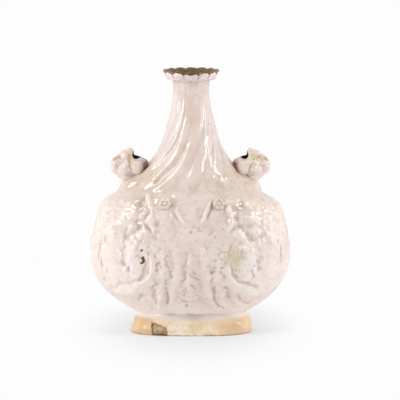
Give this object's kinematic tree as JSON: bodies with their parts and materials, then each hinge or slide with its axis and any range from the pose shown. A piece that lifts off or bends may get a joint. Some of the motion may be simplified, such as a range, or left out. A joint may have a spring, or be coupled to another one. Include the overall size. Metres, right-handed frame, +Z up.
{
  "type": "pilgrim flask",
  "caption": "Glazed earthenware pilgrim flask with a flattened relief belly, twisting fluted neck, scalloped mouth, oval foot and two pierced animal heads for a carrying cord.",
  "frame": {"origin": "middle of the flat ring that the flask stands on", "axes": "+Z up through the mouth, +X to the right of the front, the front relief faces -Y"},
  "size_m": [0.23, 0.1312, 0.3],
  "materials": {
    "white_glaze": "glossy white tin glaze with a pink-lilac cast, pooled darker in the recesses",
    "brown_edge_glaze": "glossy white tin glaze worn brown along the scalloped edge and inside the mouth",
    "buff_foot": "thin worn glaze over buff earthenware, cream to orange tan"
  },
  "bodies": {
    "root": {"front_shell": "white_glaze", "rear_shell": "white_glaze", "neck": "white_glaze", "mouth_rim": "brown_edge_glaze", "foot": "buff_foot", "left_head": "white_glaze", "right_head": "white_glaze", "front_left_rosette": "white_glaze", "front_right_rosette": "white_glaze", "rear_left_rosette": "white_glaze", "rear_right_rosette": "white_glaze"}
  },
  "joints": []
}
